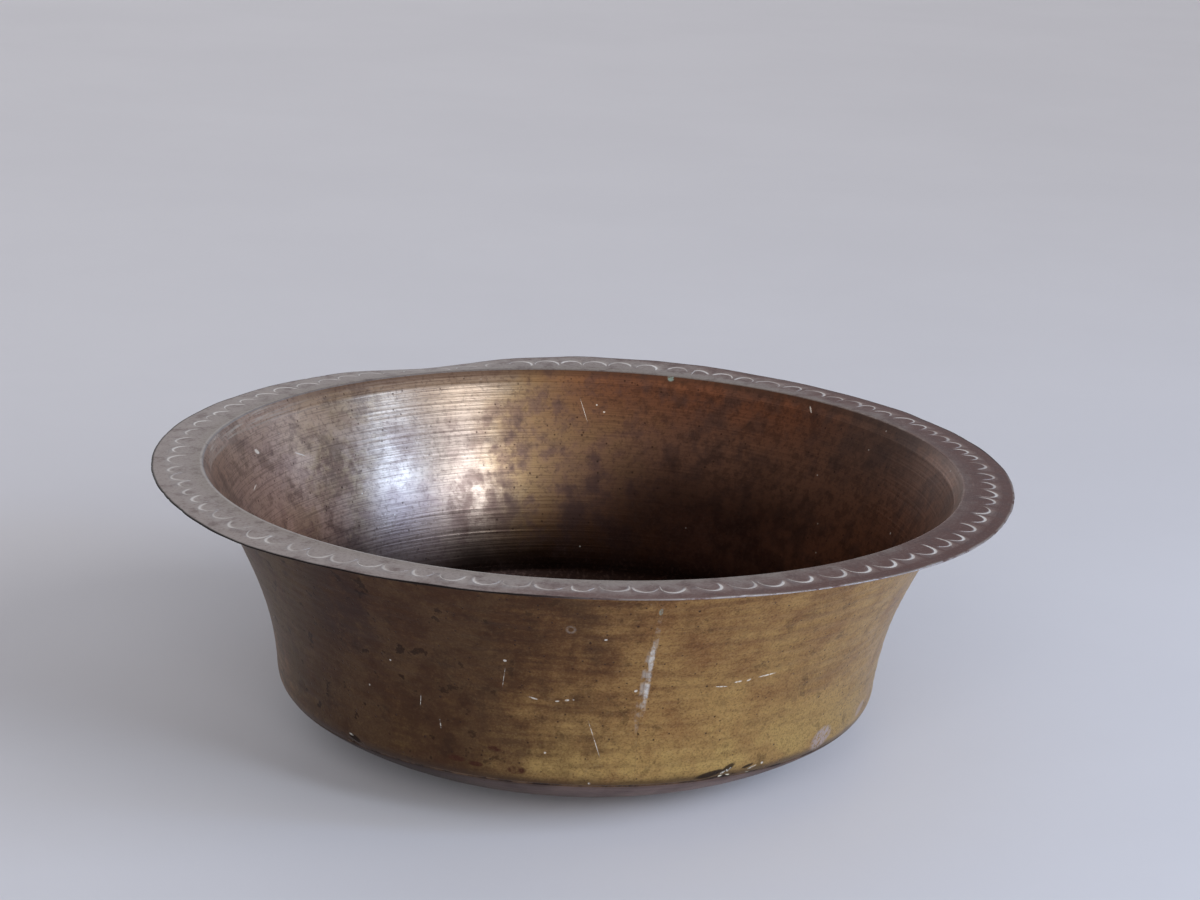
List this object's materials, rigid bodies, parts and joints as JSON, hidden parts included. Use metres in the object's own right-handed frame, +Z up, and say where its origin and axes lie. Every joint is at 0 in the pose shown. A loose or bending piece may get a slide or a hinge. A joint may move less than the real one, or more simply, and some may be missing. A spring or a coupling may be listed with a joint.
{
  "type": "copper bowl",
  "caption": "Wide hammered copper bowl with a flared wall, a dished base and a flat everted rim chased with a row of crescents.",
  "frame": {"origin": "middle of the flat underside of the base, on the bowl's axis", "axes": "+Z up along the bowl's axis, -Y towards the side that the picture shows as the front, +X to its right"},
  "size_m": [0.42, 0.42, 0.1408],
  "materials": {
    "wall_copper": "hammered, golden brown patina, satin",
    "side_solder": "pale grey solder, dull, tarnished over",
    "base_copper": "hammered, dull mauve brown patina",
    "base_solder": "dark solder, pitted",
    "rim_copper": "matt mauve grey patina, worn bright in the chased lines",
    "rim_solder": "grey solder, dull"
  },
  "bodies": {
    "root": {"wall_band": "wall_copper", "side_seam_solder": "side_solder", "base_pan": "base_copper", "base_seam_solder": "base_solder", "rim_ring": "rim_copper", "rim_seam_solder": "rim_solder"}
  },
  "joints": []
}
